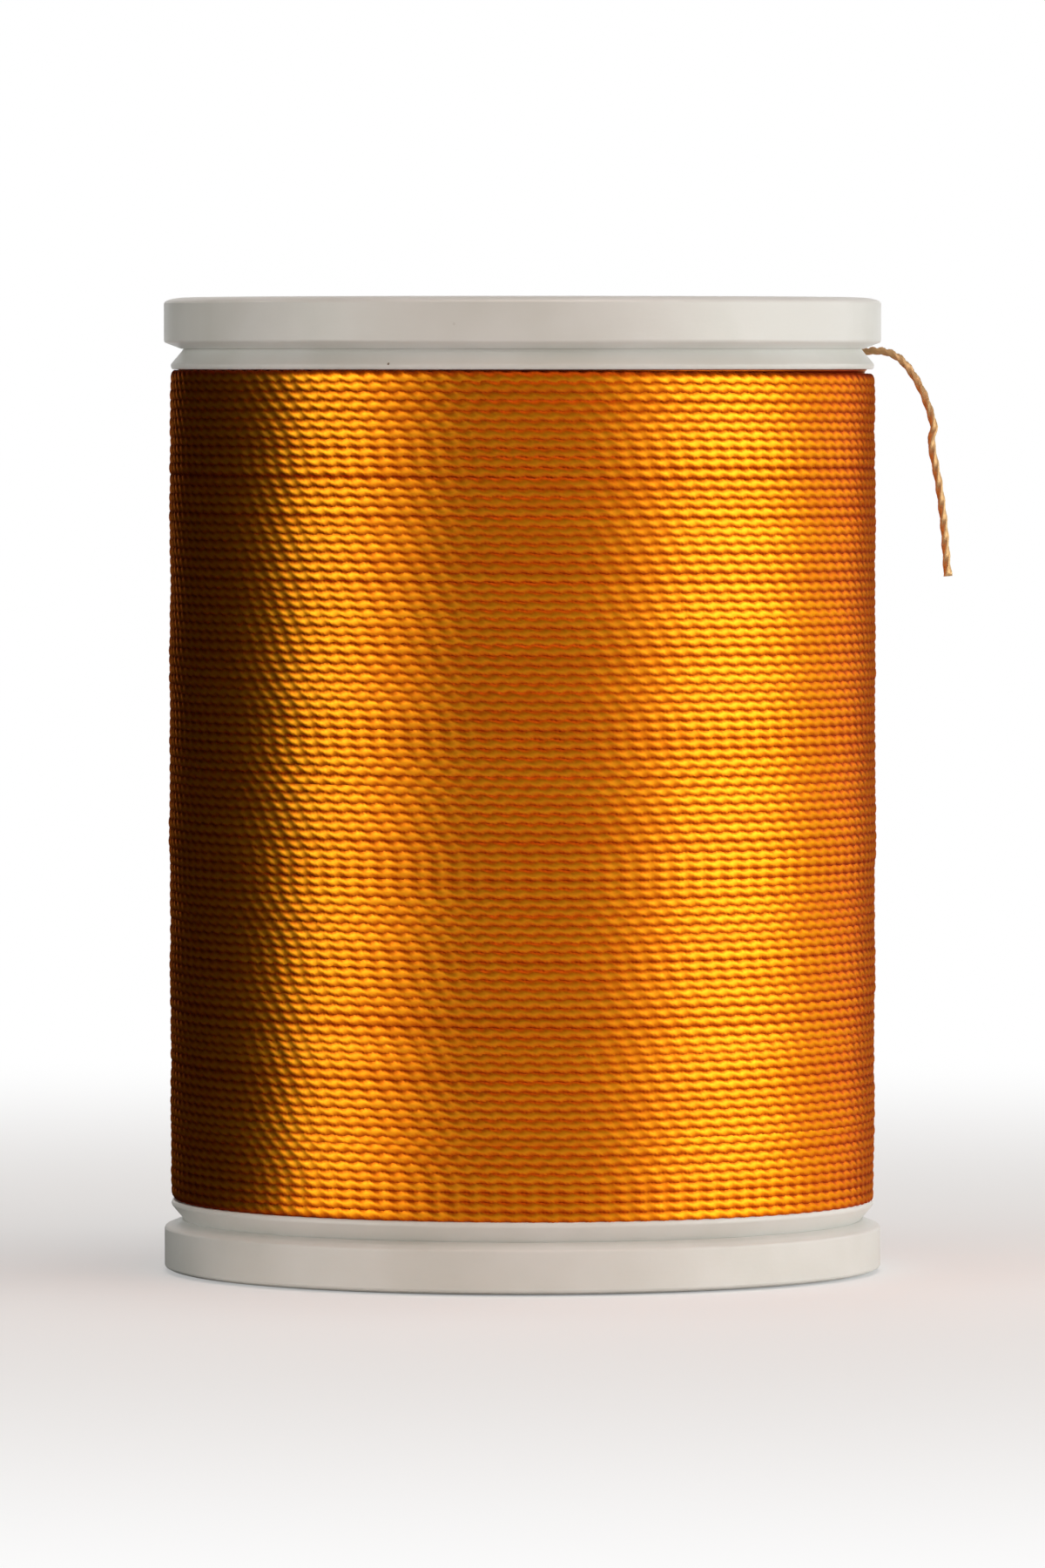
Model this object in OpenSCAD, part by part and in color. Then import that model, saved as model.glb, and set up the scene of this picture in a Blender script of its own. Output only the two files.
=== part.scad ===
// Thread spool with two snap-open end caps, wound full of heavy waxed thread.
// Millimetres. +Z is up along the spindle axis, with the origin at the middle of the base.
// Both caps are drawn closed. Each one slides out along Z to open the groove beside it.

/* [Spool] */
// Diameter of the two end caps
cap_d = 42; // [39:0.5:54]
// Height of the spool with both caps closed
spool_h = 57; // [46:0.5:90]

/* [End caps] */
// Height of a cap's rim
cap_h = 3; // [2.5:0.1:4]
// Width of the raised rim around a cap's dished face
rim_w = 3; // [2.6:0.1:4]
// Depth of the dish in a cap's outer face
dish_depth = 0.8; // [0.4:0.1:1]
// Thickness of a cap's face under the dish
face_t = 1.2; // [0.9:0.1:1.4]
// Diameter of the bore that a spindle goes through
spindle_d = 8.2; // [5:0.1:10]
// Wall of the hub tube around the spindle bore
hub_wall = 1.3; // [1:0.1:1.8]
// How far the hub tube reaches past the cap's seat
hub_len = 8; // [4:0.5:12]
// How far the snap fingers reach into the barrel
finger_len = 8; // [7:0.5:12]
// Wall of the snap fingers
finger_wall = 1.3; // [1:0.1:1.8]
// Slot between two snap fingers
finger_slot = 2.2; // [2:0.1:3.2]
// How far a cap slides out to open its groove
cap_travel = 2; // [1:0.1:3]
// Radial clearance of the snap fingers in the barrel
finger_fit = 0.08; // [0.05:0.01:0.1]

/* [Barrel] */
// Diameter that the thread is wound on
barrel_d = 27; // [25:0.5:33]
// Wall of the barrel
barrel_wall = 1.6; // [1.4:0.1:2]
// Thickness of the two inner flanges
flange_t = 1; // [0.8:0.1:1.6]
// Slit between a closed cap and its flange
slit = 0.2; // [0.1:0.05:0.4]
// Width of the ring on a flange that a closed cap presses the thread's end against
grip_w = 0.5; // [0.3:0.1:0.8]
// How far a flange's lip stays inside the cap's rim
lip_inset = 0.4; // [0.3:0.1:1]
// Width of the keys inside the barrel that stop the caps turning
key_w = 1.4; // [1:0.1:1.6]
// Height of those keys
key_h = 1; // [0.6:0.1:1.2]

/* [Label] */
// Thickness of the paper label
label_t = 0.12; // [0.1:0.02:0.3]
// Gap between the label's edge and the rim around it
label_gap = 0.4; // [0.2:0.1:1]

/* [Thread] */
// Diameter of the waxed thread
thread_d = 0.5; // [0.4:0.05:0.7]
// Number of turns drawn in the outer layer
turns = 24; // [12:1:24]

/* [Hidden] */
$fn = 96;

PLASTIC = "#dcd8d2";
PAPER = "#ece6d8";
THREAD = "#e58a1a";
THREAD_UNDER = "#b9600f";

// Slides a shape a little past the faces that it cuts or joins
over = 0.5;

// Seats of the two caps on the barrel's ends
low_seat = cap_h;
top_seat = spool_h - cap_h;

// Cap, from its seat outwards
cap_r = cap_d / 2;
dish_z = cap_h - dish_depth;
plate_z = dish_z - face_t;
dish_r = cap_r - rim_w;
boss_h = 0.5;
boss_w = 2.2;
bore_lead = 0.4;
spindle_r = spindle_d / 2;
hub_r = spindle_r + hub_wall;
// The rim's groove side is cut back by a wide bevel, and its outer side by a soft shoulder
groove_bevel = [1, 0.32];
rim_corner = [0.2, 0.2];
shoulder = [1.4, 0.35];
dish_round = 0.3;
boss_round = 0.2;
elbow_steps = 5;
pinch_w = 2.4;
pocket_ribs = 8;
pocket_rib_w = 0.8;
// Moulding marks in the dish: shallow rounds from the ejector pins, and the gate's dimple and stub
ejectors = 3;
ejector_r = 1.4;
mark_depth = 0.1;
gate_r = 0.9;
gate_stub_r = 0.35;
mark_ring_r = (hub_r + boss_w + dish_r) / 2;

// Snap fingers and the bead that holds them in the barrel
fingers = 4;
barrel_r = barrel_d / 2;
bore_r = barrel_r - barrel_wall;
finger_r = bore_r - finger_fit;
finger_root = 0.8;
bead = 0.33;
bead_h = 0.9;
bead_z = -finger_len + 0.3;
bead_gap = 0.15;
catch_z = [bead_z - bead_gap, bead_z + bead_h + cap_travel + bead_gap];
catch_r = finger_r + bead + bead_gap;

// Inner flanges, from the thread side outwards
lip_r = cap_r - lip_inset;
low_face = low_seat + slit + flange_t;
top_face = top_seat - slit - flange_t;
lip_back = 0.6;
lip_toe = [0.15, 0.25];
lip_tip = [0.03, 0.08];
grip_back = lip_back + 0.15;
key_end = finger_root + 0.4;

// Winding: a plain core with one layer of turns laid on it
turn_r = lip_r - thread_d / 2;
loop_rings = 24;
turn_sides = 6;
bed_gap = 0.03;
wrap_gap = 0.05;
core_r = turn_r * cos(180 / loop_rings) - thread_d / 2 - bed_gap;
back = 90;
landing_bend = 1.2 * thread_d;
turns_low = low_face + thread_d + landing_bend;
turns_top = top_face - thread_d;
turn_pitch = (turns_top - turns_low) / turns;

// Free end of the thread: it leaves the winding at the back, crosses the upper flange's lip,
// runs a fifth of the way round in the groove and hangs from it on the +X side
tail_sides = 8;
tail_step = 1.1;
tail_route = [
    [0.5, 20.35, 52.3], [1.1, 20.35, 52.3], [2.2, 20.55, 52.5], [3.3, 20.75, 52.9], [4.5, 20.55, 53.4],
    [5.7, 19.95, 53.75], [7, 19.3, 53.85], [8.65, 18.6, 53.85], [10.25, 17.75, 53.85], [11.75, 16.8, 53.85],
    [13.2, 15.7, 53.85], [14.5, 14.5, 53.85], [15.7, 13.2, 53.85], [16.8, 11.75, 53.85],
    [17.75, 10.25, 53.85], [18.6, 8.65, 53.85], [19.35, 7.05, 53.85], [20.05, 5.55, 53.85],
    [20.75, 4.15, 53.9], [21.5, 2.95, 53.8], [22.2, 2, 53.4], [22.85, 1.2, 52.6], [23.45, 0.6, 51.5],
    [23.85, 0.2, 50.4], [24.1, 0, 49.4], [23.95, -0.1, 48.6], [24.1, -0.2, 47.6], [24.35, -0.3, 46.3],
    [24.55, -0.4, 44.9], [24.7, -0.5, 43.5], [24.8, -0.6, 42.1], [24.9, -0.7, 40.7]
];

// ---- Outlines and sweeps ----

function unit(v) = v / norm(v);

// Points along part of an ellipse about c, from angle a0 to a1
function elbow(c, r, a0, a1) = [
    for (k = [0:elbow_steps]) let (a = a0 + (a1 - a0) * k / elbow_steps) c + [r.x * cos(a), r.y * sin(a)]
];

// A smooth curve through four points, between the middle two
function through(a, b, c, d, t) =
    b + t * (c - a) / 2 + t ^ 2 * (2 * a - 5 * b + 4 * c - d) / 2 + t ^ 3 * (3 * b - 3 * c + d - a) / 2;

// A route's points, filled in so that no step is longer than the one given
function smooth_route(p, step) = [
    for (i = [0:len(p) - 2], n = ceil(norm(p[i + 1] - p[i]) / step), k = [0:n - 1])
        through(p[max(i - 1, 0)], p[i], p[i + 1], p[min(i + 2, len(p) - 1)], k / n),
    p[len(p) - 1]
];

function tangents(p) = [for (i = [0:len(p) - 1]) unit(p[min(i + 1, len(p) - 1)] - p[max(i - 1, 0)])];

// One side vector for each point, carried along the route without twisting
function side_vectors(t, first) = [
    for (i = 0, u = unit(first - (first * t[0]) * t[0]); i < len(t);
        i = i + 1, u = i < len(t) ? unit(u - (u * t[i]) * t[i]) : u) u
];

function ring(c, t, u, r, sides) = [
    for (a = [0:sides - 1]) c + r * (u * cos(360 * a / sides) + cross(t, u) * sin(360 * a / sides))
];

// A closed tube of triangles over a list of rings
module tube(rings) {
    n = len(rings[0]);
    last = len(rings) - 1;
    points = [for (r = rings) for (p = r) p];
    walls = [
        for (i = [0:last - 1], a = [0:n - 1], b = (a + 1) % n)
            each [[i * n + a, (i + 1) * n + a, i * n + b], [i * n + b, (i + 1) * n + a, (i + 1) * n + b]]
    ];
    near_end = [for (a = [1:n - 2]) [0, a, a + 1]];
    far_end = [for (a = [1:n - 2]) [last * n, last * n + a + 1, last * n + a]];
    polyhedron(points, concat(walls, near_end, far_end), convexity = 10);
}

// ---- Thread turns ----

function radial(a) = [cos(a), sin(a), 0];
function along(a) = [sin(a), -cos(a), 0];

// The turns run clockwise seen from above, from the lower flange up
function helix_point(i) =
    turn_r * radial(back - 360 * i / loop_rings) + [0, 0, turns_low + turn_pitch * i / loop_rings];

// The lower end stands on the lower flange and bends into the first turn
turns_landing = [
    for (z = [0, thread_d / 2, thread_d])
        turn_r * radial(back) - landing_bend * along(back) + [0, 0, low_face + z],
    for (a = [30, 60])
        turn_r * radial(back) - landing_bend * cos(a) * along(back)
            + [0, 0, low_face + thread_d + landing_bend * sin(a)]
];
turns_lead = turn_r * radial(back) + thread_d * along(back) + [0, 0, turns_top];
turns_path = concat(turns_landing, [for (i = [0:turns * loop_rings]) helix_point(i)], [turns_lead]);

// Least distance between the surfaces of neighbouring turns
function least_gap(p) = min([
    for (i = [0:len(p) - 1 - loop_rings / 2])
        for (j = [i + loop_rings / 2:min(i + 3 * loop_rings / 2, len(p) - 1)])
            norm(p[i] - p[j])
]) - thread_d;

// A side vector that points away from the spindle axis keeps every ring of the turns alike
function outward(p, t) = let (v = [p.x, p.y, 0]) unit(v - (v * t) * t);

// ---- Barrel ----

// Outline of a flange from the barrel out to its knife-edged lip, over its grip ring and back to the
// barrel; s is +1 for the upper one
function flange_outline(z, s) = [
    for (p = concat(
        [[barrel_r, 0]],
        elbow([lip_r - lip_toe.x, lip_toe.y], lip_toe, -90, 0),
        [
            [lip_r - lip_tip.x, lip_toe.y + lip_tip.y], [lip_r - lip_back, flange_t],
            [lip_r - grip_back, flange_t + slit], [lip_r - grip_back - grip_w, flange_t + slit],
            [lip_r - grip_back - grip_w - slit, flange_t], [barrel_r, flange_t]
        ]
    )) [p.x, z + s * p.y]
];

// The groove inside the barrel that the beads travel in, from the open end inwards
function catch_outline(seat, s) = [
    [bore_r + bore_lead, seat],
    [bore_r, seat - s * bore_lead],
    [bore_r, seat + s * catch_z[1]],
    [catch_r, seat + s * (catch_z[1] - (catch_r - bore_r))],
    [catch_r, seat + s * catch_z[0]],
    [bore_r, seat + s * (catch_z[0] - (catch_r - bore_r))]
];

function reversed(p) = [for (i = [len(p) - 1:-1:0]) p[i]];

module barrel() {
    outline = concat(
        [[barrel_r, low_seat]],
        reversed(flange_outline(low_face, -1)),
        flange_outline(top_face, 1),
        [[barrel_r, top_seat]],
        catch_outline(top_seat, 1),
        reversed(catch_outline(low_seat, -1))
    );
    color(PLASTIC) union() {
        rotate_extrude() polygon(outline);
        for (k = [0:fingers - 1])
            rotate(360 * k / fingers) key();
    }
}

// One of the straight keys that the caps' slots slide on
module key() {
    translate([bore_r - key_h, -key_w / 2, low_seat + key_end])
        cube([key_h + barrel_wall / 2, key_w, top_seat - low_seat - 2 * key_end]);
}

// ---- End caps, drawn with the seat at zero and the outer face up ----

module cap_disc() {
    boss_r = hub_r + boss_w;
    boss_z = dish_z + boss_h;
    outline = concat(
        [
            [spindle_r, -hub_len], [hub_r, -hub_len], [hub_r, plate_z],
            [finger_r - finger_wall, plate_z], [finger_r - finger_wall, 0], [cap_r - groove_bevel.x, 0]
        ],
        elbow([cap_r - rim_corner.x, groove_bevel.y + rim_corner.y], rim_corner, -60, 0),
        elbow([cap_r - shoulder.x, cap_h - shoulder.y], shoulder, 0, 90),
        elbow([dish_r + dish_round, cap_h - dish_round], [dish_round, dish_round], 90, 180),
        elbow([dish_r - dish_round, dish_z + dish_round], [dish_round, dish_round], 0, -90),
        [[boss_r, dish_z]],
        elbow([boss_r - boss_round, boss_z - boss_round], [boss_round, boss_round], 0, 90),
        [[spindle_r + bore_lead, boss_z], [spindle_r, boss_z - bore_lead]]
    );
    rotate_extrude() polygon(outline);
}

// A ring-shaped pocket behind the face, crossed by short ribs
module cap_pocket() {
    pocket_r = [barrel_r + 0.7, cap_r - pinch_w];
    difference() {
        rotate_extrude() polygon([
            [pocket_r[0], -over], [pocket_r[1], -over], [pocket_r[1], 0],
            [pocket_r[1] - 0.2, plate_z], [pocket_r[0] + 0.2, plate_z], [pocket_r[0], 0]
        ]);
        for (k = [0:pocket_ribs - 1])
            rotate(360 * (k + 0.5) / pocket_ribs)
                translate([pocket_r[0] - over, -pocket_rib_w / 2, 0])
                    cube([pocket_r[1] - pocket_r[0] + 2 * over, pocket_rib_w, cap_h]);
    }
}

// A split ring that springs into the barrel, with a bead around its tip
module cap_fingers() {
    difference() {
        rotate_extrude() polygon([
            [finger_r - finger_wall, plate_z + face_t / 2],
            [finger_r - finger_wall, -finger_len],
            [finger_r - 0.3, -finger_len],
            [finger_r, bead_z],
            [finger_r + bead, bead_z + 0.35],
            [finger_r + bead, bead_z + 0.55],
            [finger_r, bead_z + bead_h],
            [finger_r, plate_z + face_t / 2]
        ]);
        for (k = [0:fingers - 1])
            rotate(360 * k / fingers)
                translate([0, -finger_slot / 2, -finger_len - over])
                    cube([barrel_r, finger_slot, finger_len + over - finger_root]);
    }
}

// A round sunk into the dish's floor; it leaves a stub in its middle where one is given
module dish_mark(angle, r, stub_r = 0) {
    rotate(angle) translate([mark_ring_r, 0, dish_z - mark_depth]) difference() {
        cylinder(h = mark_depth + over, r = r);
        if (stub_r > 0) cylinder(h = mark_depth, r = stub_r);
    }
}

module cap() {
    color(PLASTIC) union() {
        difference() {
            cap_disc();
            cap_pocket();
            for (k = [0:ejectors - 1])
                dish_mark(30 + 360 * k / ejectors, ejector_r);
            dish_mark(-30, gate_r, gate_stub_r);
        }
        cap_fingers();
    }
}

module upper_cap() {
    translate([0, 0, top_seat]) cap();
}

module lower_cap() {
    translate([0, 0, low_seat]) rotate([180, 0, 0]) cap();
}

module upper_label() {
    color(PAPER) translate([0, 0, top_seat + dish_z]) difference() {
        cylinder(h = label_t, r = dish_r - label_gap);
        translate([0, 0, -over]) cylinder(h = label_t + 2 * over, r = hub_r + boss_w + label_gap);
    }
}

// ---- Winding ----

// The inner layers, as one plain ring between the flanges
module thread_body() {
    color(THREAD_UNDER) difference() {
        translate([0, 0, low_face]) cylinder(h = top_face - low_face, r = core_r);
        translate([0, 0, low_face - over])
            cylinder(h = top_face - low_face + 2 * over, r = barrel_r + wrap_gap);
    }
}

// The outer layer, as one unbroken thread
module thread_turns() {
    t = tangents(turns_path);
    echo(least_gap_between_turns_mm = least_gap([for (i = [0:turns * loop_rings]) helix_point(i)]));
    color(THREAD) tube([
        for (i = [0:len(turns_path) - 1])
            ring(turns_path[i], t[i], outward(turns_path[i], t[i]), thread_d / 2, turn_sides)
    ]);
}

// The free end
module thread_tail() {
    p = smooth_route(tail_route, tail_step);
    t = tangents(p);
    u = side_vectors(t, [0, 1, 0]);
    color(THREAD) tube([for (i = [0:len(p) - 1]) ring(p[i], t[i], u[i], thread_d / 2, tail_sides)]);
}

barrel();
upper_cap();
lower_cap();
upper_label();
thread_body();
thread_turns();
thread_tail();
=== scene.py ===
"""A two-flanged snap spool wound full of gold waxed thread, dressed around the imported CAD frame.

Everything that reaches Blender is in metres, in the frame of the CAD model: +Z runs up the spindle
axis, -Y is the front, and the free end of the thread hangs on the +X side. A length in millimetres
has a name that ends in _mm, or its docstring says so.
"""
import logging
import math
from dataclasses import dataclass
from enum import Enum
from typing import Any, Sequence

import bpy
import numpy as np
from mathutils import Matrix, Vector


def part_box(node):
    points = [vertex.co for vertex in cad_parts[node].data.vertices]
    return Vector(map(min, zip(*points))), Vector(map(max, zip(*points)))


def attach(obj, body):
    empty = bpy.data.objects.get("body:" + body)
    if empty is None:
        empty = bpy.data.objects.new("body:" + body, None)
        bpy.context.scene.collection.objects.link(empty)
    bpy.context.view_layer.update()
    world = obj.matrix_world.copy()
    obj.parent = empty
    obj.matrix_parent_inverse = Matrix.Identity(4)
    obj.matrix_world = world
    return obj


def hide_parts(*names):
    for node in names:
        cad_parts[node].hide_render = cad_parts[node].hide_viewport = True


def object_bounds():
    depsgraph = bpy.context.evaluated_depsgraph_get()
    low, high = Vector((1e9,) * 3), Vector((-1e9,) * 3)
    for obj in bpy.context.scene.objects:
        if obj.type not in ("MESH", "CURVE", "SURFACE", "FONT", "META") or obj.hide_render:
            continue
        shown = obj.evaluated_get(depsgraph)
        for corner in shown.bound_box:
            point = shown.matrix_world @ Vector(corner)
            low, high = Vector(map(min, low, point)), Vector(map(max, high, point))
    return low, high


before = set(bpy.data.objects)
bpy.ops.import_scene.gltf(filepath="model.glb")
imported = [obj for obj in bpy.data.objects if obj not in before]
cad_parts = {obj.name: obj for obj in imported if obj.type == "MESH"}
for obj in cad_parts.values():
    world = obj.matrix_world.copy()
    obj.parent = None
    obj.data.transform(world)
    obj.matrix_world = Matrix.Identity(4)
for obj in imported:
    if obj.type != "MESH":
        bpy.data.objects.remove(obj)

LOG = logging.getLogger("spool")
CAD_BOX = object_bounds()
MM = 0.001
WHITE = "#ffffff"
# Nearly all values of a noise texture lie between these
NOISE_LOW, NOISE_HIGH = 0.3, 0.7
# Share of its strip of the bake map that a length of thread fills, so that strips keep apart
STRIP_FILL = 0.96


# ---------------------------------------------------------------- helpers

def linear(hex_colour: str) -> tuple[float, float, float, float]:
    """Turn an sRGB hex colour into Blender's linear RGBA.

    Args:
        hex_colour: A colour such as "#d9780f".

    Returns:
        Linear red, green and blue, with an alpha of one.
    """
    channels = (int(hex_colour[i:i + 2], 16) / 255 for i in (1, 3, 5))
    return (*(c / 12.92 if c <= 0.04045 else ((c + 0.055) / 1.055) ** 2.4 for c in channels), 1.0)


def fill_inputs(
    tree: bpy.types.NodeTree, node: bpy.types.Node, inputs: dict[str | int, Any]
) -> None:
    """Give a node's inputs their values and links.

    Args:
        tree: The node tree that the node is in.
        node: The node.
        inputs: A value or an output socket for each named or numbered input.
    """
    for name, value in inputs.items():
        if isinstance(value, bpy.types.NodeSocket):
            tree.links.new(value, node.inputs[name])
        else:
            node.inputs[name].default_value = value


def add_node(
    tree: bpy.types.NodeTree,
    kind: str,
    settings: dict[str, Any] | None = None,
    inputs: dict[str | int, Any] | None = None,
    stops: Sequence[tuple[float, str]] = (),
) -> bpy.types.Node:
    """Add a node with its settings, values and links.

    Args:
        tree: The node tree that takes the node.
        kind: The node's type name, such as "ShaderNodeBump".
        settings: Attributes to set on the node itself.
        inputs: A value or an output socket for each named or numbered input.
        stops: Positions from 0 to 1, each with its hex colour, where the node is a colour ramp.

    Returns:
        The new node.
    """
    node = tree.nodes.new(kind)
    for name, value in (settings or {}).items():
        setattr(node, name, value)
    fill_inputs(tree, node, inputs or {})
    if stops:
        elements = node.color_ramp.elements
        while len(elements) < len(stops):
            elements.new(0.5)
        for element, (position, colour) in zip(elements, stops):
            element.position = position
            element.color = linear(colour)
    return node


def new_material(name: str) -> tuple[bpy.types.Material, bpy.types.NodeTree, bpy.types.Node]:
    """Make an empty material with a Principled shader.

    Args:
        name: The material's name.

    Returns:
        The material, its node tree and its Principled node.
    """
    material = bpy.data.materials.new(name)
    material.use_nodes = True
    return material, material.node_tree, material.node_tree.nodes["Principled BSDF"]


def new_piece(
    name: str,
    points: np.ndarray,
    faces: np.ndarray,
    uv: np.ndarray | None = None,
    smooth: bool = True,
) -> bpy.types.Object:
    """Make a mesh object from arrays.

    Args:
        name: The piece's name.
        points: Vertex places in metres, one row each.
        faces: Vertex numbers, one row for each face, all with as many corners.
        uv: A coordinate for each face corner, laid out as the faces are.
        smooth: Whether the faces are shaded smooth.

    Returns:
        The linked object.
    """
    corners = faces.shape[1]
    mesh = bpy.data.meshes.new(name)
    mesh.vertices.add(len(points))
    mesh.vertices.foreach_set("co", points.astype(np.float32).ravel())
    mesh.loops.add(faces.size)
    mesh.loops.foreach_set("vertex_index", faces.astype(np.int32).ravel())
    mesh.polygons.add(len(faces))
    mesh.polygons.foreach_set("loop_start", np.arange(0, faces.size, corners, dtype=np.int32))
    mesh.polygons.foreach_set("use_smooth", np.full(len(faces), smooth))
    if uv is not None:
        layer = mesh.uv_layers.new(name="OFBake")
        layer.uv.foreach_set("vector", uv.astype(np.float32).ravel())
    mesh.update(calc_edges=True)
    mesh.validate()
    piece = bpy.data.objects.new(name, mesh)
    bpy.context.scene.collection.objects.link(piece)
    return piece


def store(piece: bpy.types.Object, name: str, values: np.ndarray) -> None:
    """Store a number or a vector for each vertex of a piece, for its material to read.

    Args:
        piece: The mesh object.
        name: The attribute's name.
        values: The numbers, or the vectors as rows, in vertex order.
    """
    kind, key = ("FLOAT", "value") if values.ndim == 1 else ("FLOAT_VECTOR", "vector")
    attribute = piece.data.attributes.new(name, kind, "POINT")
    attribute.data.foreach_set(key, values.astype(np.float32).ravel())


def face_corners(
    u: np.ndarray, v: np.ndarray, du: np.ndarray | float, dv: np.ndarray | float
) -> np.ndarray:
    """Work out the bake map places of the corners of a grid of faces.

    Args:
        u: Place of each face's first corner along its strip, as rows by columns.
        v: Its place across the strip, laid out the same way.
        du: Length of a face along its strip.
        dv: Width of a face across its strip.

    Returns:
        The corners' places, as rows by columns by corners by two.
    """
    corners = [(u, v), (u, v + dv), (u + du, v + dv), (u + du, v)]
    return np.stack([np.stack(corner, axis=-1) for corner in corners], axis=2)


def revolve(outline: np.ndarray, columns: int) -> tuple[np.ndarray, np.ndarray, np.ndarray]:
    """Turn a closed outline round the spindle axis.

    Args:
        outline: Radius and height of each corner, as rows, in the order that makes the faces look
            out.
        columns: Faces in one round.

    Returns:
        Vertex places as corners by columns by three, quads as rows of vertex numbers, and the
        bake map place of each quad's corners.
    """
    angle = np.linspace(0, 2 * math.pi, columns, endpoint=False)
    radius, height = outline[:, :1], outline[:, 1:]
    points = np.stack([
        radius * np.cos(angle), radius * np.sin(angle), height + np.zeros(columns),
    ], axis=-1)
    count = len(outline)
    i, j = np.meshgrid(np.arange(count), np.arange(columns), indexing="ij")
    below, beside = (i + 1) % count, (j + 1) % columns
    faces = np.stack([
        i * columns + j, i * columns + beside, below * columns + beside, below * columns + j,
    ], axis=-1)
    # Each quad sets out round the axis, so its corners come in the other order
    uv = face_corners(j / columns, i / count, 1 / columns, 1 / count)[:, :, [0, 3, 2, 1]]
    return points, faces.reshape(-1, 4), uv.reshape(-1, 4, 2)


def directions(path: np.ndarray) -> np.ndarray:
    """Work out which way a path runs at each of its points.

    Args:
        path: Points along the path, one row each.

    Returns:
        A unit vector for each point.
    """
    along = np.gradient(path, axis=0)
    return along / np.linalg.norm(along, axis=1, keepdims=True)


def smooth_noise(at: np.ndarray, seed: int) -> np.ndarray:
    """Read smooth random values along a line.

    Args:
        at: Where to read, in units of one random value.
        seed: The seed of the values.

    Returns:
        Values from -1 to 1, one for each place.
    """
    values = np.random.default_rng(seed).uniform(-1, 1, int(np.ceil(at.max())) + 4)
    whole = np.floor(at).astype(int)
    part = at - whole
    part = part * part * (3 - 2 * part)
    return values[whole] * (1 - part) + values[whole + 1] * part


# ---------------------------------------------------------------- finishes

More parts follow.
